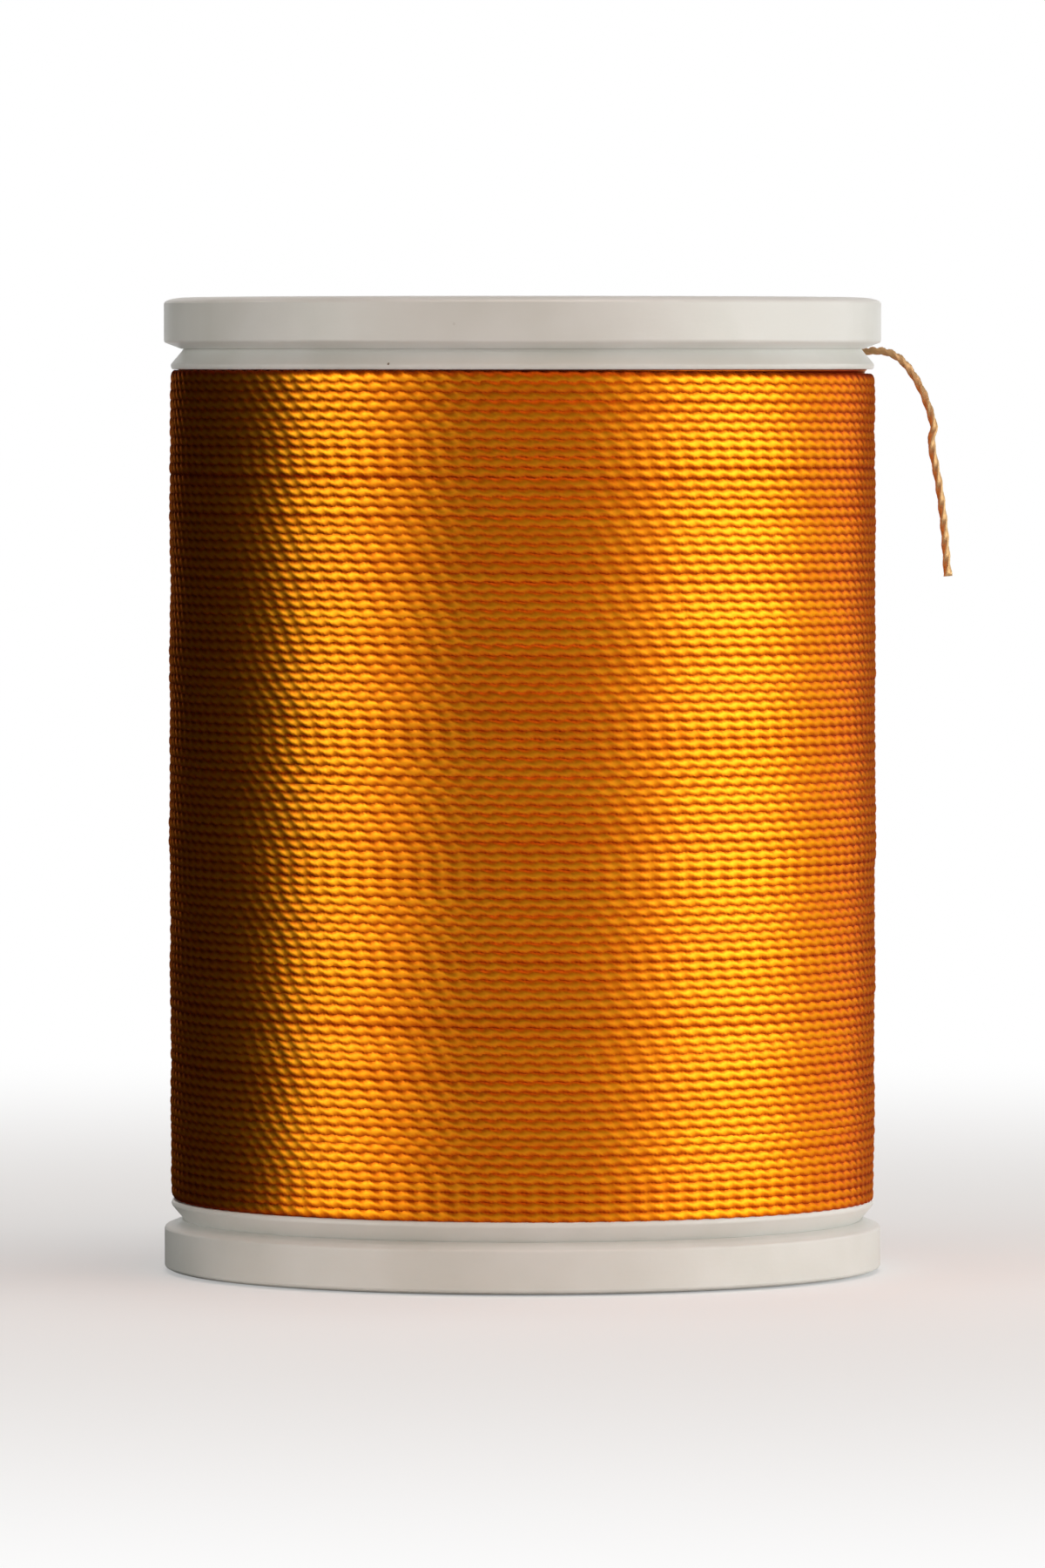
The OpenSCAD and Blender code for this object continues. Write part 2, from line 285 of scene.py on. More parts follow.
@dataclass(frozen=True)
class WaxedPolyester:
    """Waxed three-ply polyester thread, dyed gold.

    The filaments are smooth, clear and dyed right through, so light leaves them tinted and turned
    only across their run. That gives the satin bands of a tightly wound spool, and the metallic
    share stands for it. The colour is painted by how squarely the surface faces out from the
    spindle axis: a painted highlight, bright yellow orange, where a ply stands out, and painted
    shade, a deeper orange, at its sides.
    """

    # From the side of a ply, in painted shade, to its outer face, in a painted highlight
    side: str = "#b84a04"
    flank: str = "#d46406"
    shoulder: str = "#e6780a"
    crest: str = "#f2880c"
    painted_highlight: str = "#fba015"
    # How squarely the surface faces out from the spindle axis where each colour is reached
    facing: tuple[float, ...] = (0.8, 0.92, 0.96, 0.982, 0.997)
    # Light that grazes the filaments still leaves tinted
    graze: str = "#ffb03a"
    roughness: float = 0.36
    # How much smoother and rougher than that a single filament is
    roughness_spread: tuple[float, float] = (-0.06, 0.08)
    # The gloss spreads wide across the filaments and stays narrow along them
    anisotropy: float = 0.75
    # A quarter turn from the thread's own direction
    gloss_turn: float = 0.25
    metallic: float = 0.97
    ior: float = 1.5
    # The film of wax on the thread: thin, so that it only glints
    wax: float = 0.1
    wax_roughness: float = 0.3
    wax_ior: float = 1.44
    # Share of a ply's slant along the thread that its filaments don't follow
    alignment: float = 0.2
    # Filaments are about 0.02 mm across; their ridges are drawn at 0.06 mm so that they show
    filament_mm: float = 0.06
    # Width of a ridge as a share of its length, then its height and how much of that is shaded
    ridge_shape: float = 0.12
    ridge_mm: float = 0.01
    ridge_strength: float = 0.35
    # Patches of deeper and paler dye to a millimetre, along the thread and round it
    dye_per_mm: tuple[float, float] = (0.05, 0.3)
    # How far a patch shifts the colour towards the ply's side or its face
    dye_shift: float = 0.06

    def material(self, name: str = "waxed_polyester_thread") -> bpy.types.Material:
        """Build the thread's material.

        Args:
            name: The material's name.

        Returns:
            The material.
        """
        material, tree, shader = new_material(name)
        run = add_node(tree, "ShaderNodeAttribute", {"attribute_name": "run_mm"})
        girth = add_node(tree, "ShaderNodeAttribute", {"attribute_name": "girth_mm"})
        place = add_node(tree, "ShaderNodeCombineXYZ", inputs={
            "X": run.outputs["Fac"], "Y": girth.outputs["Fac"],
        }).outputs["Vector"]
        stored = add_node(tree, "ShaderNodeAttribute", {"attribute_name": "along"})
        along = add_node(tree, "ShaderNodeVectorTransform", {
            "vector_type": "VECTOR", "convert_from": "OBJECT", "convert_to": "WORLD",
        }, {0: stored.outputs["Vector"]}).outputs["Vector"]
        ridges = self._ridges(tree, place)
        normal = self._normal(tree, ridges, along)
        smoother, rougher = self.roughness_spread
        rough = add_node(tree, "ShaderNodeMapRange", inputs={
            "Value": ridges, "From Min": NOISE_LOW, "From Max": NOISE_HIGH,
            "To Min": self.roughness + smoother, "To Max": self.roughness + rougher,
        })
        fill_inputs(tree, shader, {
            "Base Color": self._colour(tree, place, normal),
            "Metallic": self.metallic,
            "Roughness": rough.outputs["Result"],
            "IOR": self.ior,
            "Specular Tint": linear(self.graze),
            "Anisotropic": self.anisotropy,
            "Anisotropic Rotation": self.gloss_turn,
            "Tangent": along,
            "Normal": normal,
            "Coat Weight": self.wax,
            "Coat Roughness": self.wax_roughness,
            "Coat IOR": self.wax_ior,
        })
        return material

    def _ridges(
        self, tree: bpy.types.NodeTree, place: bpy.types.NodeSocket
    ) -> bpy.types.NodeSocket:
        """Draw the ridges of the filaments.

        Args:
            tree: The node tree that takes the nodes.
            place: Millimetres along the thread and round it.

        Returns:
            The ridges' height, from 0 to 1.
        """
        across = 1.0 / self.filament_mm
        strands = add_node(tree, "ShaderNodeMapping", inputs={
            "Vector": place, "Scale": (self.ridge_shape / self.filament_mm, across, 1.0),
        })
        filaments = add_node(tree, "ShaderNodeTexNoise", inputs={
            "Vector": strands.outputs["Vector"], "Scale": 1.0, "Detail": 2.0, "Roughness": 0.5,
        })
        return filaments.outputs["Fac"]

    def _normal(
        self,
        tree: bpy.types.NodeTree,
        ridges: bpy.types.NodeSocket,
        along: bpy.types.NodeSocket,
    ) -> bpy.types.NodeSocket:
        """Turn the surface the way its filaments lie.

        Args:
            tree: The node tree that takes the nodes.
            ridges: The ridges' height, from 0 to 1.
            along: The thread's direction.

        Returns:
            The direction that the surface faces.
        """
        bump = add_node(tree, "ShaderNodeBump", inputs={
            "Strength": self.ridge_strength, "Distance": self.ridge_mm * MM, "Height": ridges,
        })
        # A filament lies nearly along the thread, so a part of the ply's slant is taken out again
        tilt = add_node(tree, "ShaderNodeVectorMath", {"operation": "DOT_PRODUCT"}, {
            0: bump.outputs["Normal"], 1: along,
        })
        part = add_node(tree, "ShaderNodeMath", {"operation": "MULTIPLY"}, {
            0: tilt.outputs["Value"], 1: -self.alignment,
        })
        lean = add_node(tree, "ShaderNodeVectorMath", {"operation": "SCALE"}, {
            0: along, "Scale": part.outputs["Value"],
        })
        turned = add_node(tree, "ShaderNodeVectorMath", {"operation": "ADD"}, {
            0: bump.outputs["Normal"], 1: lean.outputs["Vector"],
        })
        return add_node(tree, "ShaderNodeVectorMath", {"operation": "NORMALIZE"}, {
            0: turned.outputs["Vector"],
        }).outputs["Vector"]

    def _colour(
        self,
        tree: bpy.types.NodeTree,
        place: bpy.types.NodeSocket,
        normal: bpy.types.NodeSocket,
    ) -> bpy.types.NodeSocket:
        """Paint each ply from shade at its side to a highlight on its outer face.

        Args:
            tree: The node tree that takes the nodes.
            place: Millimetres along the thread and round it.
            normal: The direction that the surface faces.

        Returns:
            The colour.
        """
        # How far the surface is turned away from the spindle axis: 1 faces out, 0 faces along it
        flat = add_node(tree, "ShaderNodeVectorMath", {"operation": "MULTIPLY"}, {
            0: add_node(tree, "ShaderNodeTexCoord").outputs["Object"], 1: (1.0, 1.0, 0.0),
        })
        out = add_node(tree, "ShaderNodeVectorMath", {"operation": "NORMALIZE"}, {
            0: flat.outputs["Vector"],
        })
        facing = add_node(tree, "ShaderNodeVectorMath", {"operation": "DOT_PRODUCT"}, {
            0: normal, 1: out.outputs["Vector"],
        })
        length = add_node(tree, "ShaderNodeMapping", inputs={
            "Vector": place, "Scale": (*self.dye_per_mm, 1.0),
        })
        dye = add_node(tree, "ShaderNodeTexNoise", inputs={
            "Vector": length.outputs["Vector"], "Scale": 1.0, "Detail": 3.0, "Roughness": 0.6,
        })
        shift = add_node(tree, "ShaderNodeMath", {"operation": "MULTIPLY_ADD"}, {
            0: dye.outputs["Fac"], 1: self.dye_shift, 2: -self.dye_shift / 2,
        })
        shifted = add_node(tree, "ShaderNodeMath", {"operation": "ADD", "use_clamp": True}, {
            0: facing.outputs["Value"], 1: shift.outputs["Value"],
        })
        # The ramp paints shade at a ply's side and a highlight where the surface faces straight out
        colours = (self.side, self.flank, self.shoulder, self.crest, self.painted_highlight)
        return add_node(
            tree, "ShaderNodeValToRGB", inputs={"Fac": shifted.outputs["Value"]},
            stops=list(zip(self.facing, colours)),
        ).outputs["Color"]


@dataclass(frozen=True)
class MouldedPolystyrene:
    """Injection-moulded polystyrene in a warm grey white.

    The polished mould leaves it satin. Handling leaves dark specks of dirt and a few small scuffs,
    so that it doesn't look freshly made.
    """

    body: str = "#e0dfdc"
    body_warm: str = "#d7d6d1"
    dirt: str = "#7d6a58"
    roughness: float = 0.38
    roughness_spread: tuple[float, float] = (-0.05, 0.08)
    ior: float = 1.59
    # Width of the clouds of warmer and smoother plastic
    cloud_mm: float = 9.0
    # The average space between specks, the reach of the largest, and the share of spaces left clean
    speck_gap_mm: float = 1.9
    speck_mm: float = 0.13
    clean: float = 0.84
    grain_mm: float = 0.35
    # Scuffs run round the rim, this many times as long as they are high, and cut deeper than grain
    scuff_mm: float = 2.6
    scuff_stretch: float = 7.0
    scuff_depth: float = 2.0
    relief_mm: float = 0.02
    relief_strength: float = 0.2

    def material(self) -> bpy.types.Material:
        """Build the plastic's material.

        Returns:
            The material.
        """
        material, tree, shader = new_material("moulded_polystyrene")
        where = add_node(tree, "ShaderNodeTexCoord").outputs["Object"]
        cloud = add_node(tree, "ShaderNodeTexNoise", inputs={
            "Vector": where, "Scale": 1 / (self.cloud_mm * MM), "Detail": 3.0, "Roughness": 0.55,
        })
        plastic = add_node(
            tree, "ShaderNodeValToRGB", inputs={"Fac": cloud.outputs["Fac"]},
            stops=[(0.35, self.body_warm), (0.6, self.body)],
        )
        smoother, rougher = self.roughness_spread
        rough = add_node(tree, "ShaderNodeMapRange", inputs={
            "Value": cloud.outputs["Fac"], "From Min": NOISE_LOW, "From Max": NOISE_HIGH,
            "To Min": self.roughness + smoother, "To Max": self.roughness + rougher,
        })
        fill_inputs(tree, shader, {
            "Base Color": self._specks(tree, where, plastic.outputs["Color"]),
            "Roughness": rough.outputs["Result"],
            "IOR": self.ior,
            "Normal": self._relief(tree, where),
        })
        return material

    def _specks(
        self,
        tree: bpy.types.NodeTree,
        where: bpy.types.NodeSocket,
        plastic: bpy.types.NodeSocket,
    ) -> bpy.types.NodeSocket:
        """Scatter specks of dirt over the plastic.

        Args:
            tree: The node tree that takes the nodes.
            where: The place on the piece.
            plastic: The clean plastic's colour.

        Returns:
            The colour with its specks.
        """
        # A speck lies in few of the cells, and its size goes with the cell's random number
        cell = add_node(tree, "ShaderNodeTexVoronoi", inputs={
            "Vector": where, "Scale": 1 / (self.speck_gap_mm * MM),
        })
        draw = add_node(tree, "ShaderNodeSeparateColor", inputs={"Color": cell.outputs["Color"]})
        reach = add_node(tree, "ShaderNodeMapRange", inputs={
            "Value": draw.outputs["Red"], "From Min": self.clean, "From Max": 1.0,
            "To Min": 0.0, "To Max": self.speck_mm / self.speck_gap_mm,
        })
        inside = add_node(tree, "ShaderNodeMath", {"operation": "LESS_THAN"}, {
            0: cell.outputs["Distance"], 1: reach.outputs["Result"],
        })
        weak = add_node(tree, "ShaderNodeMath", {"operation": "MULTIPLY"}, {
            0: inside.outputs["Value"], 1: draw.outputs["Green"],
        })
        return add_node(tree, "ShaderNodeMix", {"data_type": "RGBA"}, {
            "Factor": weak.outputs["Value"], "A": plastic, "B": linear(self.dirt),
        }).outputs["Result"]

    def _relief(
        self, tree: bpy.types.NodeTree, where: bpy.types.NodeSocket
    ) -> bpy.types.NodeSocket:
        """Roughen the plastic with a fine grain and scuffs.

        Args:
            tree: The node tree that takes the nodes.
            where: The place on the piece.

        Returns:
            The direction that the surface faces.
        """
        grain = add_node(tree, "ShaderNodeTexNoise", inputs={
            "Vector": where, "Scale": 1 / (self.grain_mm * MM), "Detail": 2.0,
        })
        flat = add_node(tree, "ShaderNodeMapping", inputs={
            "Vector": where, "Scale": (1.0, 1.0, self.scuff_stretch),
        })
        scuffs = add_node(tree, "ShaderNodeTexNoise", inputs={
            "Vector": flat.outputs["Vector"], "Scale": 1 / (self.scuff_mm * MM),
            "Detail": 5.0, "Roughness": 0.7,
        })
        relief = add_node(tree, "ShaderNodeMath", {"operation": "MULTIPLY_ADD"}, {
            0: scuffs.outputs["Fac"], 1: self.scuff_depth, 2: grain.outputs["Fac"],
        })
        return add_node(tree, "ShaderNodeBump", inputs={
            "Strength": self.relief_strength, "Distance": self.relief_mm * MM,
            "Height": relief.outputs["Value"],
        }).outputs["Normal"]


@dataclass(frozen=True)
class LabelPaper:
    """Uncoated off-white label paper, die-cut, with fine printed rings.

    Its fibres leave it matt and a little cloudy.
    """

    paper: str = "#f4f0e6"
    paper_dull: str = "#ece6d8"
    ink: str = "#8c7a5c"
    roughness: float = 0.8
    fibre_mm: float = 0.6
    relief_mm: float = 0.02
    relief_strength: float = 0.3
    # Half the width of a printed ring's line
    line_mm: float = 0.09

    def material(self, rings_mm: Sequence[float]) -> bpy.types.Material:
        """Build the paper's material.

        Args:
            rings_mm: Radii of the printed rings.

        Returns:
            The material.
        """
        material, tree, shader = new_material("uncoated_label_paper")
        where = add_node(tree, "ShaderNodeTexCoord").outputs["Object"]
        fibre = add_node(tree, "ShaderNodeTexNoise", inputs={
            "Vector": where, "Scale": 1 / (self.fibre_mm * MM), "Detail": 4.0, "Roughness": 0.65,
        })
        colour = add_node(
            tree, "ShaderNodeValToRGB", inputs={"Fac": fibre.outputs["Fac"]},
            stops=[(0.35, self.paper_dull), (0.65, self.paper)],
        ).outputs["Color"]
        flat = add_node(tree, "ShaderNodeVectorMath", {"operation": "MULTIPLY"}, {
            0: where, 1: (1 / MM, 1 / MM, 0.0),
        })
        radius = add_node(tree, "ShaderNodeVectorMath", {"operation": "LENGTH"}, {
            0: flat.outputs["Vector"],
        })
        for ring in rings_mm:
            on_line = add_node(tree, "ShaderNodeMath", {"operation": "COMPARE"}, {
                0: radius.outputs["Value"], 1: ring, 2: self.line_mm,
            })
            colour = add_node(tree, "ShaderNodeMix", {"data_type": "RGBA"}, {
                "Factor": on_line.outputs["Value"], "A": colour, "B": linear(self.ink),
            }).outputs["Result"]
        bump = add_node(tree, "ShaderNodeBump", inputs={
            "Strength": self.relief_strength, "Distance": self.relief_mm * MM,
            "Height": fibre.outputs["Fac"],
        })
        fill_inputs(tree, shader, {
            "Base Color": colour, "Roughness": self.roughness, "Normal": bump.outputs["Normal"],
        })
        return material


# ---------------------------------------------------------------- thread

class Twist(Enum):
    """Which way the plies wind round the thread, named for the stroke they follow as it hangs."""

    Z = 1
    S = -1


@dataclass(frozen=True)
class Thread:
    """Three plies laid up into one thread, as every length of it on the spool is made."""

    diameter_mm: float = 0.5
    plies: int = 3
    lay_mm: float = 3.2584
    steps_per_lay: int = 14
    # Reach of a ply's crest, shoulders and the valley beside it, as shares of the radius
    ply_outline: tuple[float, ...] = (1.0, 0.95, 0.82, 0.95)
    twist: Twist = Twist.Z

    @property
    def step_mm(self) -> float:
        """Length of thread between two rings of vertices."""
        return self.lay_mm / self.steps_per_lay

    @property
    def sides(self) -> int:
        """Vertices in one ring."""
        return self.plies * len(self.ply_outline)

    def angles(self, run_mm: np.ndarray) -> np.ndarray:
        """Turn each ring's vertices with the plies.

        Args:
            run_mm: Length of thread up to each ring.

        Returns:
            The angle of each vertex from the outward direction, as rings by sides.
        """
        turn = self.twist.value * 2 * math.pi * run_mm / self.lay_mm
        return turn[:, None] + np.linspace(0, 2 * math.pi, self.sides, endpoint=False)[None, :]

    def rings(
        self,
        path: np.ndarray,
        run_mm: np.ndarray,
        out: np.ndarray,
        swell: np.ndarray | float = 1.0,
        spread: float = 1.0,
    ) -> np.ndarray:
        """Lay rings of vertices along a path, turning with the plies.

        Args:
            path: Ring centres in millimetres.
            run_mm: Length of thread up to each centre.
            out: For each centre, a vector that points away from what the thread lies on.
            swell: A share of the radius for each ring.
            spread: How much wider the thread is pressed, across the outward direction.

        Returns:
            Vertex places in millimetres, as rings by sides by three.
        """
        along = directions(path)
        up = out - (out * along).sum(1, keepdims=True) * along
        up /= np.linalg.norm(up, axis=1, keepdims=True)
        over = np.cross(along, up)
        angle = self.angles(run_mm)
        reach = self.diameter_mm / 2 * np.tile(self.ply_outline, self.plies)[None, :]
        reach = reach * np.broadcast_to(np.asarray(swell), run_mm.shape)[:, None]
        return (
            path[:, None, :]
            + (reach * np.cos(angle))[:, :, None] * up[:, None, :]
            + (spread * reach * np.sin(angle))[:, :, None] * over[:, None, :]
        )

    def tube(
        self,
        name: str,
        rings: np.ndarray,
        run_mm: np.ndarray,
        uv: np.ndarray,
        sway: np.ndarray | float = 0.0,
    ) -> bpy.types.Object:
        """Close rings of vertices into one tube with capped ends.

        Args:
            name: The piece's name.
            rings: Vertex places in millimetres, as rings by sides by three.
            run_mm: Length of thread up to each ring.
            uv: Bake map place of each wall face's corners, as strips by sides by corners by two.
            sway: How far the filaments lean away from the spindle axis at each ring, as a tangent.

        Returns:
            The piece.
        """
        count, sides = rings.shape[:2]
        a = np.arange(sides)
        b = (a + 1) % sides
        base = (np.arange(count - 1) * sides)[:, None]
        walls = np.stack([base + a, base + b, base + sides + b, base + sides + a], axis=-1)
        ends = []
        # Each end is closed by quads that fan from the ring's first vertex
        for first, order in ((0, -1), ((count - 1) * sides, 1)):
            for k in range(1, sides - 2, 2):
                ends.append([first + v for v in (0, k, k + 1, k + 2)[::order]])
        faces = np.concatenate([walls.reshape(-1, 4), np.array(ends)])
        end_uv = np.zeros((len(ends), 4, 2)) + uv[0, 0, 0]
        corners = np.concatenate([uv.reshape(-1, 4, 2), end_uv])
        piece = new_piece(name, rings.reshape(-1, 3) * MM, faces, corners)
        store(piece, "run_mm", np.repeat(run_mm, sides))
        centres = rings.mean(axis=1)
        away = centres * [1, 1, 0] / np.hypot(centres[:, 0], centres[:, 1])[:, None]
        along = directions(centres) + away * np.broadcast_to(sway, count)[:, None]
        along /= np.linalg.norm(along, axis=1, keepdims=True)
        store(piece, "along", np.repeat(along, sides, axis=0))
        around = np.linspace(0, math.pi * self.diameter_mm, sides, endpoint=False)
        store(piece, "girth_mm", np.tile(around, count))
        return piece


@dataclass
class Winding:
    """The thread wound on the barrel: its outer layer turn by turn, and the layers under it."""

    thread: Thread
    finish: bpy.types.Material
    # Finish of the layers below, painted in shade
    painted_shade_finish: bpy.types.Material
    # Faces of the two flanges, between which the thread lies
    low_mm: float
    high_mm: float
    # Inside of the winding, as in the CAD model
    barrel_r_mm: float = 13.55
    turns: int = 91
    pieces: int = 7
    radius_mm: float = 20.35
    # Where the last turn hands over to the free end, and the angle of that side from +X
    join_mm: tuple[float, float, float] = (0.5, 20.35, 52.3)
    back: float = math.pi / 2
    # Soft turns that press on each other fill the space between them
    swell: float = 1.04
    spread: float = 1.85
    # Space between the first turn and its flange
    gap_mm: float = 0.01
    # The first and the last turns lie still, and the wavering sets in over this many
    settle_turns: float = 1.5
    # Slow wander of the traverse, and the waver of each turn
    wander_mm: float = 0.09
    wander_turns: float = 3.3
    waver_mm: float = 0.024
    wavers_per_turn: int = 5
    # Places where a turn skips on, clear of the first and last few turns
    skips: int = 9
    skip_mm: float = 0.05
    skip_margin: int = 4
    # How far the front of the first turn hangs, and how much it gains on the back by the last
    front_drop_mm: float = 0.22
    front_gain_mm: float = 0.46
    # Swell of the full winding, bumps in each turn, and the rise and fall from turn to turn
    belly_mm: float = 0.1
    bump_mm: float = 0.03
    bumps_per_turn: int = 4
    bump_offset: int = 3
    layer_mm: float = 0.04
    layer_turns: float = 5.0
    # The first turn comes up out of the layer below
    tuck_mm: float = 0.35
    tuck_turns: float = 0.12
    # How unevenly the plies are laid, and over how many turns that comes and goes
    lay_drift_mm: float = 0.7
    drift_turns: float = 5.0
    # Lean of single plies and of parts of a turn, as tangents
    ply_sway: float = 0.06
    turn_sway: float = 0.025
    sways_per_turn: int = 3
    # The layers below: how deep under the outer layer's middle, the height of their turns' relief,
    # and the rows in a turn and columns in a round of their mesh
    under_depth_mm: float = 0.17
    under_relief_mm: float = 0.16
    under_rows: int = 4
    under_columns: int = 160
    seed: int = 7

    def _heights(self, turn: np.ndarray, level: np.ndarray, ease: np.ndarray) -> np.ndarray:
        """Work out how high the outer layer's centreline runs.

        Args:
            turn: The turn that each ring is in, as a decimal.
            level: The same as a share of all turns.
            ease: How far each ring may stray, from 0 to 1.

        Returns:
            Heights in millimetres.
        """
        # The traverse wanders slowly, each turn wavers a little, and here and there one skips
        waver = self.wander_mm * smooth_noise(turn / self.wander_turns, self.seed)
        waver += self.waver_mm * smooth_noise(turn * self.wavers_per_turn, self.seed + 1)
        skips = np.zeros_like(turn)
        draws = np.random.default_rng(self.seed + 2)
        for at in draws.uniform(self.skip_margin, self.turns - self.skip_margin, self.skips):
            skips += self.skip_mm * np.clip((turn - at) * 2, 0, 1)
        start = self.low_mm + self.thread.diameter_mm / 2 + self.gap_mm
        rise = level * (self.join_mm[2] - start - skips[-1]) + skips
        # Turns lie level against the lower flange, and tip up in front to fill under the upper one
        front = (1 - np.cos(2 * math.pi * turn)) / 2
        tip = front * (level * self.front_gain_mm - self.front_drop_mm)
        return start + rise + ease * waver + tip

    def _radii(self, turn: np.ndarray, level: np.ndarray, ease: np.ndarray) -> np.ndarray:
        """Work out how far from the spindle axis the outer layer's centreline runs.

        Args:
            turn: The turn that each ring is in, as a decimal.
            level: The same as a share of all turns.
            ease: How far each ring may stray, from 0 to 1.

        Returns:
            Radii in millimetres.
        """
        belly = self.belly_mm * np.sin(math.pi * level) ** 0.5
        bumps_at = turn * self.bumps_per_turn + self.bump_offset
        bumps = self.bump_mm * smooth_noise(bumps_at, self.seed + 3)
        bumps += self.layer_mm * smooth_noise(turn / self.layer_turns, self.seed + 4)
        tuck = self.tuck_mm * np.clip(1 - turn / self.tuck_turns, 0, 1)
        return self.radius_mm + ease * (belly + bumps) - tuck

    def _path(self) -> tuple[np.ndarray, np.ndarray]:
        """Work out the centreline of the outer layer.

        Returns:
            Ring centres in millimetres and the turn that each is in, as a decimal.
        """
        per_turn = round(2 * math.pi * self.radius_mm / self.thread.step_mm)
        turn = np.arange(self.turns * per_turn + 1) / per_turn
        level = turn / self.turns
        ease = np.clip(np.minimum(turn, self.turns - turn) / self.settle_turns, 0, 1)
        radius = self._radii(turn, level, ease)
        angle = self.back - 2 * math.pi * turn
        across = [radius * np.cos(angle), radius * np.sin(angle)]
        return np.stack([*across, self._heights(turn, level, ease)], axis=1), turn

    def build(self) -> None:
        """Build the outer layer as a few pieces of whole turns, then the layers under it."""
        path, turn = self._path()
        # The lay isn't quite even, so the plies of one turn fall in with those below or cross them
        laid = turn * 2 * math.pi * self.radius_mm
        laid += self.lay_drift_mm * (1 + smooth_noise(turn / self.drift_turns, self.seed + 5))
        rings = self.thread.rings(path, laid, path * [1, 1, 0], self.swell, self.spread)
        # Every ply lies at its own slight angle, so each catches the light a little sooner or later
        plies = laid * self.thread.plies / self.thread.lay_mm
        sway = self.ply_sway * smooth_noise(plies, self.seed + 6)
        sway += self.turn_sway * smooth_noise(turn * self.sways_per_turn, self.seed + 7)
        per_turn = (len(path) - 1) // self.turns
        edges = np.round(np.linspace(0, self.turns, self.pieces + 1)).astype(int)
        for number, (first, last) in enumerate(zip(edges[:-1], edges[1:]), start=1):
            part = slice(first * per_turn, last * per_turn + 1)
            piece = self.thread.tube(
                f"thread_turns_{number}", rings[part], laid[part],
                self._bake_map(last - first, per_turn), sway[part],
            )
            self._dress(piece, self.finish)
            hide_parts("thread_turns")
            LOG.info("%s: turns %d to %d", piece.name, first, last)
        self._build_under_layers()

    def _bake_map(self, turns: int, per_turn: int) -> np.ndarray:
        """Lay each turn out as one strip of the bake map.

        Args:
            turns: Turns in the piece.
            per_turn: Rings in one turn.

        Returns:
            The corners' places, as strips by sides by corners by two.
        """
        sides = self.thread.sides
        strip = np.arange(turns * per_turn)
        u = (strip % per_turn)[:, None] / per_turn + np.zeros((1, sides))
        across = np.arange(sides)[None, :] / sides * STRIP_FILL
        v = ((strip // per_turn)[:, None] + across) / turns
        return face_corners(u, v, 1 / per_turn, STRIP_FILL / sides / turns)

    def _build_under_layers(self) -> None:
        """Build the inner layers as one closed ring whose outside keeps the rise of each turn."""
        pitch = (self.high_mm - self.low_mm) / self.turns
        columns = self.under_columns
        level = np.arange(self.turns * self.under_rows + 1) / self.under_rows
        relief = self.under_relief_mm * np.abs(np.sin(math.pi * level))
        crest = self.radius_mm - self.under_depth_mm - relief
        outline = np.array([
            (self.barrel_r_mm, self.low_mm),
            *zip(crest, self.low_mm + pitch * level),
            (self.barrel_r_mm, self.high_mm),
        ])
        points, faces, uv = revolve(outline, columns)
        piece = new_piece("thread_under_layers", points.reshape(-1, 3) * MM, faces, uv)
        angle = np.linspace(0, 2 * math.pi, columns, endpoint=False)
        store(piece, "run_mm", np.tile(angle * self.radius_mm, len(outline)))
        # A turn is half a millimetre high and about one millimetre of its girth shows
        store(piece, "girth_mm", np.repeat(2 * outline[:, 1], columns))
        around = np.stack([np.sin(angle), -np.cos(angle), np.zeros(columns)], axis=-1)
        store(piece, "along", np.tile(around, (len(outline), 1)))
        self._dress(piece, self.painted_shade_finish)
        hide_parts("thread_body")
        LOG.info("%s: %d faces", piece.name, len(faces))

    def _dress(self, piece: bpy.types.Object, finish: bpy.types.Material) -> None:
        """Give a piece of the winding its finish, body and slot.

        Args:
            piece: The piece.
            finish: Its material.
        """
        piece.data.materials.append(finish)
        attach(piece, "spool")


